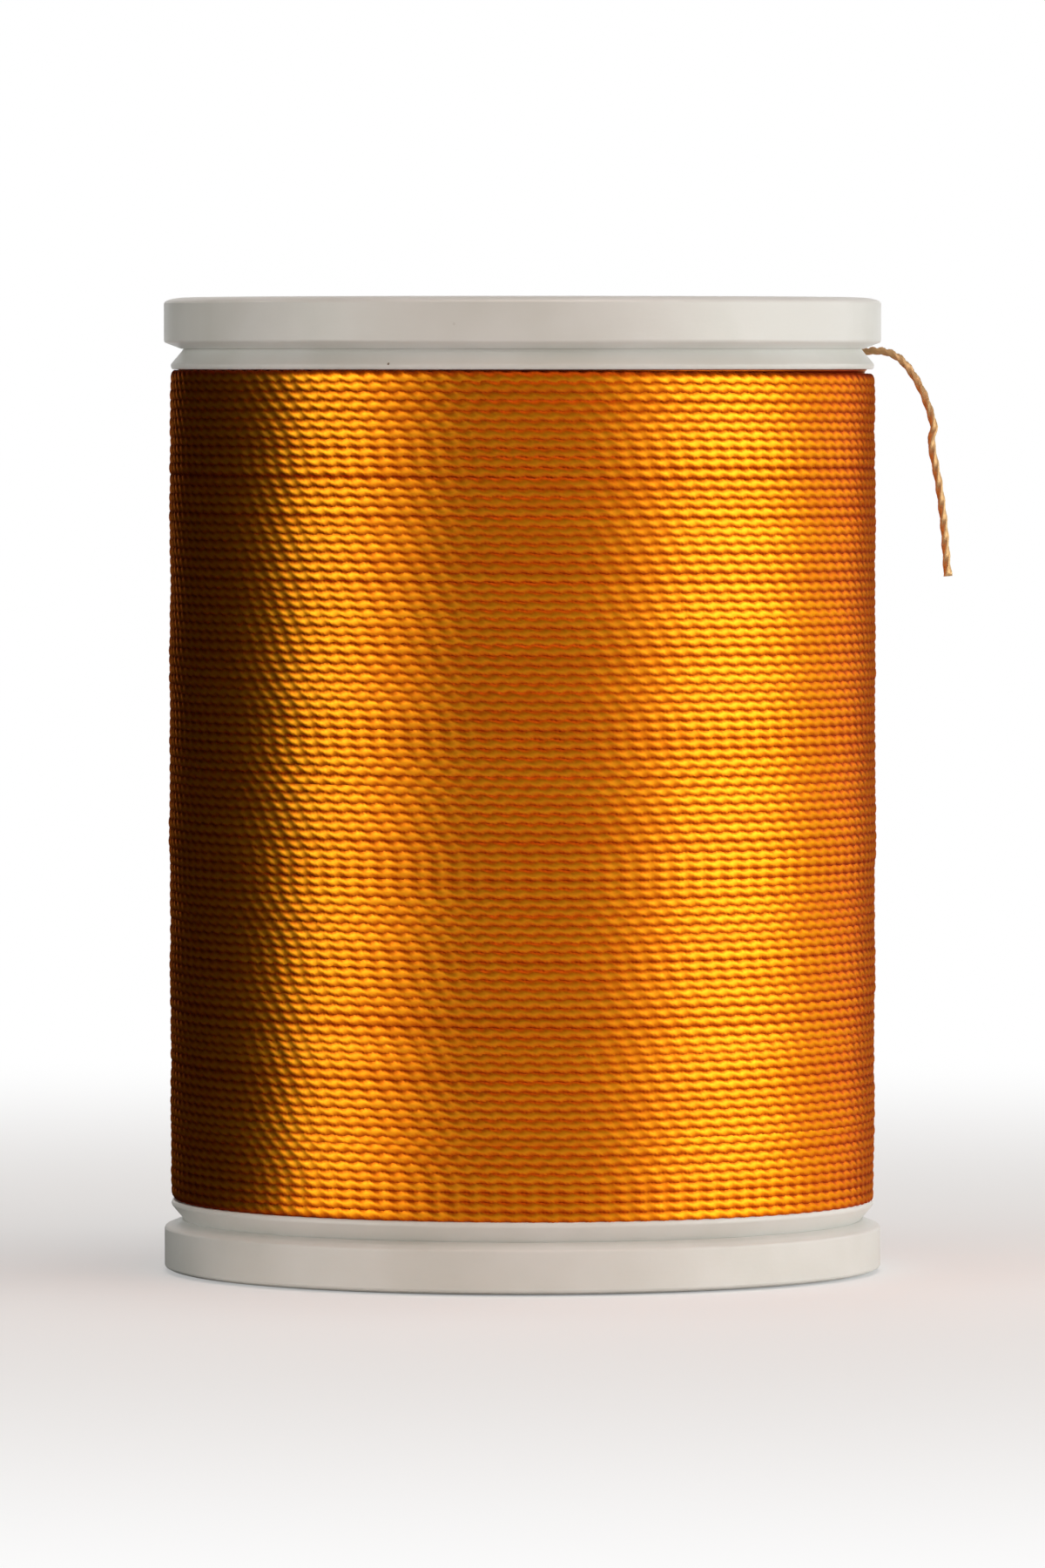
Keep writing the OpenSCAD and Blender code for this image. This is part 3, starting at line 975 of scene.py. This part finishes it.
@dataclass
class FreeEnd:
    """The last of the thread: over the upper lip, round in the groove, then hanging free."""

    thread: Thread
    finish: bpy.types.Material
    # The same points as the CAD route, in millimetres
    route_mm: tuple[tuple[float, float, float], ...] = (
        (0.5, 20.35, 52.3), (1.1, 20.35, 52.3), (2.2, 20.55, 52.5), (3.3, 20.75, 52.9),
        (4.5, 20.55, 53.4), (5.7, 19.95, 53.75), (7, 19.3, 53.85), (8.65, 18.6, 53.85),
        (10.25, 17.75, 53.85), (11.75, 16.8, 53.85), (13.2, 15.7, 53.85), (14.5, 14.5, 53.85),
        (15.7, 13.2, 53.85), (16.8, 11.75, 53.85), (17.75, 10.25, 53.85), (18.6, 8.65, 53.85),
        (19.35, 7.05, 53.85), (20.05, 5.55, 53.85), (20.75, 4.15, 53.9), (21.5, 2.95, 53.8),
        (22.2, 2, 53.4), (22.85, 1.2, 52.6), (23.45, 0.6, 51.5), (23.85, 0.2, 50.4),
        (24.1, 0, 49.4), (23.95, -0.1, 48.6), (24.1, -0.2, 47.6), (24.35, -0.3, 46.3),
        (24.55, -0.4, 44.9), (24.7, -0.5, 43.5), (24.8, -0.6, 42.1), (24.9, -0.7, 40.7),
    )
    # Points of the curve from one of those to the next
    fineness: int = 24
    # The cut end opens up by this share, over this length
    fray: float = 0.18
    fray_mm: float = 0.7

    def _smooth(self) -> np.ndarray:
        """Fill the route in with a curve through its points, at the thread's own step.

        Returns:
            Points in millimetres, evenly spaced.
        """
        p = np.array(self.route_mm, float)
        p = np.concatenate([p[:1], p, p[-1:]])
        t = np.linspace(0, 1, self.fineness, endpoint=False)[:, None]
        parts = []
        for a, b, c, d in zip(p[:-3], p[1:-2], p[2:-1], p[3:]):
            bend = t * t * (2 * a - 5 * b + 4 * c - d) + t ** 3 * (3 * b - 3 * c + d - a)
            parts.append(b + (t * (c - a) + bend) / 2)
        fine = np.concatenate([*parts, p[-1:]])
        run = np.concatenate([[0.0], np.cumsum(np.linalg.norm(np.diff(fine, axis=0), axis=1))])
        even = np.linspace(0, run[-1], round(run[-1] / self.thread.step_mm) + 1)
        return np.stack([np.interp(even, run, fine[:, k]) for k in range(3)], axis=1)

    def build(self) -> None:
        """Build the free end as one tube."""
        path = self._smooth()
        steps = np.linalg.norm(np.diff(path, axis=0), axis=1)
        run = np.concatenate([[0.0], np.cumsum(steps)])
        fray_from = run[-1] - self.fray_mm
        swell = 1.0 + self.fray * np.clip((run - fray_from) / self.fray_mm, 0, 1)
        rings = self.thread.rings(path, run, path * [1, 1, 0], swell)
        sides = self.thread.sides
        u = np.repeat((run[:-1] / run[-1])[:, None], sides, axis=1)
        v = np.repeat(np.arange(sides)[None, :] / sides, len(path) - 1, axis=0) * STRIP_FILL
        du = np.repeat((np.diff(run) / run[-1])[:, None], sides, axis=1)
        uv = face_corners(u, v, du, STRIP_FILL / sides)
        piece = self.thread.tube("thread_free_end", rings, run, uv)
        piece.data.materials.append(self.finish)
        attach(piece, "spool")
        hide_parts("thread_tail")
        LOG.info("%s: %.1f mm long", piece.name, run[-1])


# ---------------------------------------------------------------- plastic and paper

@dataclass
class SpoolBody:
    """The barrel and its two snap caps, which keep their CAD shapes."""

    plastic: bpy.types.Material
    nodes: tuple[str, ...] = ("barrel", "upper_cap", "lower_cap")

    def build(self) -> None:
        """Give the CAD nodes their moulded finish."""
        for node in self.nodes:
            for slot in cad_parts[node].material_slots:
                slot.material = self.plastic
            LOG.info("%s: dressed", node)


@dataclass
class Label:
    """The paper label in the upper cap's dish, a little cockled and lifting along its edges."""

    paper: LabelPaper
    outer_mm: float
    low_mm: float
    high_mm: float
    # Radius of the hole, as in the CAD model
    inner_mm: float = 8.0
    # How far the printed rings lie from the paper's edges
    ring_inset_mm: float = 1.1
    # The paper's back stays this far off the cap
    glue_mm: float = 0.005
    # Height of the cockles, how many go in a round, and the share of it over which they close
    cockle_mm: float = 0.05
    cockles: int = 11
    closing: float = 1 / 8
    # Lift of the outer edge, and the share of the paper's width that it takes
    lift_mm: float = 0.12
    lift_width: float = 1 / 6
    rows: int = 17
    columns: int = 192
    seed: int = 19

    def _cockles(self) -> np.ndarray:
        """Draw the cockles of one round, which fade into their own start so that the sheet closes.

        Returns:
            The cockle at each column, from 0 to 1.
        """
        angle = np.linspace(0, 1, self.columns + 1)[:-1]
        wave = smooth_noise(angle * self.cockles, self.seed)
        start = wave[0]
        for distance in (angle, 1 - angle):
            kept = np.clip(distance / self.closing, 0, 1)
            wave = wave * kept + start * (1 - kept)
        return (wave + 1) / 2

    def build(self) -> None:
        """Build the label as one closed sheet with two printed rings."""
        ring = np.linspace(self.inner_mm, self.outer_mm, self.rows)
        top = [(r, self.high_mm) for r in ring[::-1]]
        bottom = [(r, self.low_mm + self.glue_mm) for r in ring]
        points, faces, uv = revolve(np.array(top + bottom), self.columns)
        wave = self._cockles()
        radius = np.hypot(points[..., 0], points[..., 1])
        share = (radius - self.inner_mm) / (self.outer_mm - self.inner_mm)
        edge = np.clip((share - 1) / self.lift_width + 1, 0, 1)
        points[..., 2] += self.cockle_mm * wave * np.sin(math.pi * share)
        points[..., 2] += self.lift_mm * wave ** 3 * edge ** 2
        piece = new_piece("paper_label", points.reshape(-1, 3) * MM, faces, uv)
        rings = (self.inner_mm + self.ring_inset_mm, self.outer_mm - self.ring_inset_mm)
        piece.data.materials.append(self.paper.material(rings))
        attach(piece, "upper_cap")
        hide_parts("upper_label")
        LOG.info("%s: %.1f to %.1f mm", piece.name, self.inner_mm, self.outer_mm)


# ---------------------------------------------------------------- studio

@dataclass(frozen=True)
class Lamp:
    """One softbox, placed by its direction from the spool.

    Its azimuth runs from the front towards the right, and its angles are in degrees.
    """

    name: str
    azimuth: float
    elevation: float
    distance: float
    width: float
    height: float
    radiance: float
    # Angle that the softbox's grid lets out
    grid: float = 180.0
    colour: str = WHITE

    def build(self, target: Vector) -> None:
        """Add the lamp.

        Args:
            target: The point that it faces.
        """
        a, e = math.radians(self.azimuth), math.radians(self.elevation)
        away = Vector((math.sin(a) * math.cos(e), -math.cos(a) * math.cos(e), math.sin(e)))
        data = bpy.data.lights.new(self.name, "AREA")
        data.shape = "RECTANGLE"
        data.size = self.width
        data.size_y = self.height
        data.energy = self.radiance * math.pi * self.width * self.height
        data.spread = math.radians(self.grid)
        data.color = linear(self.colour)[:3]
        lamp = bpy.data.objects.new(self.name, data)
        lamp.location = target + away * self.distance
        lamp.rotation_euler = (-away).to_track_quat("-Z", "Y").to_euler()
        bpy.context.scene.collection.objects.link(lamp)
        LOG.info("%s: set", self.name)


@dataclass
class Studio:
    """A pale floor, soft lamps, a white surround and the camera."""

    target: Vector
    eye_height: float = 53.3 * MM
    eye_distance: float = 714 * MM
    # Share of the frame's height that the spool takes
    fill: float = 0.62
    sensor_mm: float = 36.0
    clip: tuple[float, float] = (0.01, 20.0)
    floor_tone: str = "#f2f2f2"
    floor_roughness: float = 0.8
    floor_half: float = 1.8
    floor_drop: float = 0.02 * MM
    # The floor's own share of white at the spool, and the distances over which it all turns white
    floor_glow: float = 0.35
    floor_fade: tuple[float, float] = (0.03, 0.22)
    # Behind the spool's left the set is dark, as if black cloth hung there: its direction, and from
    # where it covers the set.
    # The world is dimmer there, and the floor there is painted near-black for all rays but the
    # camera's, as painted shade.
    painted_shade_tone: str = "#1c1b1b"
    cloth_way: tuple[float, float, float] = (-0.88, 0.47, 0.0)
    cloth_edge: tuple[float, float] = (0.35, 0.75)
    # How straight back a mirrored ray has to run to meet the white backdrop
    backdrop_edge: tuple[float, float] = (0.85, 0.97)
    # Light of the room, and what the cloth leaves of it
    room_light: float = 0.06
    cloth_light: float = 0.004
    lamps: tuple[Lamp, ...] = (
        Lamp("right_softbox", 74, 5, 0.5, 0.5, 0.36, 1.08, 90, "#f8fffa"),
        Lamp("right_front_softbox", 44, 8, 0.5, 0.3, 0.4, 0.16, 60, "#fff0e4"),
        Lamp("right_rear_softbox", 124, 8, 0.5, 0.36, 0.4, 0.32, 90),
        Lamp("left_softbox", -64, 10, 0.5, 0.28, 0.36, 0.4, 60, "#f8fffa"),
        Lamp("left_front_softbox", -42, 12, 0.5, 0.24, 0.36, 0.16, 60, "#fff0e4"),
        Lamp("overhead_softbox", 20, 58, 0.7, 0.6, 0.5, 0.2, 80, "#ffbd98"),
        Lamp("front_softbox", -20, 50, 0.7, 0.5, 0.4, 0.17, 180, "#ffc09c"),
        Lamp("top_softbox", 90, 86, 0.7, 0.5, 0.5, 0.75, 90),
    )

    def camera(self) -> None:
        """Add the camera at eye height in front of the spool."""
        low, high = CAD_BOX
        place = Vector((0, -self.eye_distance, self.eye_height))
        data = bpy.data.cameras.new("camera")
        view = self.target - place
        seen = (high.z - low.z) / self.fill
        data.sensor_width = self.sensor_mm
        data.lens = self.sensor_mm * view.length / seen
        data.clip_start, data.clip_end = self.clip
        camera = bpy.data.objects.new("camera", data)
        camera.location = place
        camera.rotation_euler = view.to_track_quat("-Z", "Y").to_euler()
        bpy.context.scene.collection.objects.link(camera)
        bpy.context.scene.camera = camera

    def _shown(self, tree: bpy.types.NodeTree, way: bpy.types.NodeSocket) -> bpy.types.NodeSocket:
        """Tell the rays that show the white background: the camera's, and mirrored ones behind.

        Args:
            tree: The node tree that takes the nodes.
            way: The direction from the spool, with a length of one.

        Returns:
            A socket that is 1 for those rays and 0 for the others.
        """
        behind = add_node(tree, "ShaderNodeVectorMath", {"operation": "DOT_PRODUCT"}, {
            0: way, 1: (0.0, 1.0, 0.0),
        })
        near, full = self.backdrop_edge
        backdrop = add_node(tree, "ShaderNodeMapRange", {"interpolation_type": "SMOOTHSTEP"}, {
            "Value": behind.outputs["Value"], "From Min": near, "From Max": full,
        })
        path = add_node(tree, "ShaderNodeLightPath")
        mirrored = add_node(tree, "ShaderNodeMath", {"operation": "MAXIMUM"}, {
            0: path.outputs["Is Glossy Ray"], 1: path.outputs["Is Transmission Ray"],
        })
        swept = add_node(tree, "ShaderNodeMath", {"operation": "MULTIPLY"}, {
            0: mirrored.outputs["Value"], 1: backdrop.outputs["Result"],
        })
        return add_node(tree, "ShaderNodeMath", {"operation": "MAXIMUM"}, {
            0: path.outputs["Is Camera Ray"], 1: swept.outputs["Value"],
        }).outputs["Value"]

    def _covered(self, tree: bpy.types.NodeTree, way: bpy.types.NodeSocket) -> bpy.types.NodeSocket:
        """Tell how far a direction points to the dark side behind the spool's left.

        Args:
            tree: The node tree that takes the nodes.
            way: The direction from the spool, with a length of one.

        Returns:
            A socket that runs from 0 to 1.
        """
        left = add_node(tree, "ShaderNodeVectorMath", {"operation": "DOT_PRODUCT"}, {
            0: way, 1: self.cloth_way,
        })
        near, full = self.cloth_edge
        return add_node(tree, "ShaderNodeMapRange", {"interpolation_type": "SMOOTHSTEP"}, {
            "Value": left.outputs["Value"], "From Min": near, "From Max": full,
        }).outputs["Result"]

    def floor(self) -> None:
        """Add a pale floor under the spool, which runs out into the white of the surround."""
        half, drop = self.floor_half, -self.floor_drop
        points = np.array([
            (-half, -half, drop), (half, -half, drop), (half, half, drop), (-half, half, drop),
        ])
        plane = new_piece("floor", points, np.array([[0, 1, 2, 3]]), smooth=False)
        material, tree, shader = new_material("studio_floor")
        where = add_node(tree, "ShaderNodeTexCoord").outputs["Object"]
        way = add_node(tree, "ShaderNodeVectorMath", {"operation": "NORMALIZE"}, {
            0: where,
        }).outputs["Vector"]
        # The camera sees pale floor all round; for other rays the floor on the spool's far left is
        # painted near-black, painted shade in place of black cloth
        painted_shade_floor = add_node(tree, "ShaderNodeMix", {"data_type": "RGBA"}, {
            "Factor": self._covered(tree, way),
            "A": linear(self.floor_tone), "B": linear(self.painted_shade_tone),
        })
        tone = add_node(tree, "ShaderNodeMix", {"data_type": "RGBA"}, {
            "Factor": add_node(tree, "ShaderNodeLightPath").outputs["Is Camera Ray"],
            "A": painted_shade_floor.outputs["Result"], "B": linear(self.floor_tone),
        })
        fill_inputs(tree, shader, {
            "Base Color": tone.outputs["Result"], "Roughness": self.floor_roughness,
        })
        far = add_node(tree, "ShaderNodeVectorMath", {"operation": "LENGTH"}, {0: where})
        near, full = self.floor_fade
        fade = add_node(tree, "ShaderNodeMapRange", {"interpolation_type": "SMOOTHSTEP"}, {
            "Value": far.outputs["Value"], "From Min": near, "From Max": full,
            "To Min": self.floor_glow,
        })
        share = add_node(tree, "ShaderNodeMath", {"operation": "MULTIPLY"}, {
            0: self._shown(tree, way), 1: fade.outputs["Result"],
        })
        white = add_node(tree, "ShaderNodeEmission", inputs={
            "Color": linear(WHITE), "Strength": 1.0,
        })
        mix = add_node(tree, "ShaderNodeMixShader", inputs={
            0: share.outputs["Value"], 1: shader.outputs[0], 2: white.outputs[0],
        })
        fill_inputs(tree, tree.nodes["Material Output"], {"Surface": mix.outputs[0]})
        plane.data.materials.append(material)

    def surround(self) -> None:
        """Light the room dimly from all round, and show white behind everything."""
        world = bpy.data.worlds.new("studio_surround")
        world.use_nodes = True
        tree = world.node_tree
        tree.nodes.clear()
        way = add_node(tree, "ShaderNodeTexCoord").outputs["Generated"]
        room = add_node(tree, "ShaderNodeMapRange", inputs={
            "Value": self._covered(tree, way),
            "To Min": self.room_light, "To Max": self.cloth_light,
        })
        dim = add_node(tree, "ShaderNodeBackground", inputs={
            "Color": linear(WHITE), "Strength": room.outputs["Result"],
        })
        bright = add_node(tree, "ShaderNodeBackground", inputs={
            "Color": linear(WHITE), "Strength": 1.0,
        })
        mix = add_node(tree, "ShaderNodeMixShader", inputs={
            0: self._shown(tree, way), 1: dim.outputs[0], 2: bright.outputs[0],
        })
        add_node(tree, "ShaderNodeOutputWorld", inputs={"Surface": mix.outputs[0]})
        bpy.context.scene.world = world

    def build(self) -> None:
        """Add the floor, the surround and the lamps."""
        self.floor()
        self.surround()
        for lamp in self.lamps:
            lamp.build(self.target)
        bpy.context.scene.view_settings.view_transform = "Standard"


# ---------------------------------------------------------------- the spool's own choices

# Thread that nothing pulls tight: more matt, with deeper valleys between its plies, and in paler
# copies of the thread's colours, which paint the light of the white surround onto it
PALE_LIT_LOOSE_POLYESTER = WaxedPolyester(
    side="#d6ae7e", flank="#dab684", shoulder="#e0bf88", crest="#e6c88c", painted_highlight="#ecd090",
    metallic=0.3,
)
LOOSE_THREAD = Thread(ply_outline=(1.0, 0.86, 0.54, 0.86))
# Thread of the layers below, in darker copies of the thread's colours: painted shade where it shows
# between the outer turns
SHADED_UNDER_POLYESTER = WaxedPolyester(
    side="#7a2403", flank="#8a2c04", shoulder="#9c3a05", crest="#ac4a07", painted_highlight="#b8560a",
)


def main() -> None:
    """Build the scene, in the order camera, thread, plastic, paper, studio."""
    logging.basicConfig(level=logging.INFO, format="%(name)s: %(message)s")
    low, high = CAD_BOX
    studio = Studio(target=Vector((0, 0, (low.z + high.z) / 2)))
    studio.camera()
    waxed = WaxedPolyester().material()
    FreeEnd(LOOSE_THREAD, PALE_LIT_LOOSE_POLYESTER.material("painted_light_loose_thread")).build()
    shaded_under = SHADED_UNDER_POLYESTER.material("painted_shade_under_thread")
    layer_low, layer_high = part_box("thread_body")
    Winding(Thread(), waxed, shaded_under, layer_low.z / MM, layer_high.z / MM).build()
    SpoolBody(MouldedPolystyrene().material()).build()
    label_low, label_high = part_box("upper_label")
    Label(
        LabelPaper(), outer_mm=label_high.x / MM,
        low_mm=label_low.z / MM, high_mm=label_high.z / MM,
    ).build()
    studio.build()


if __name__ == "__main__":
    main()
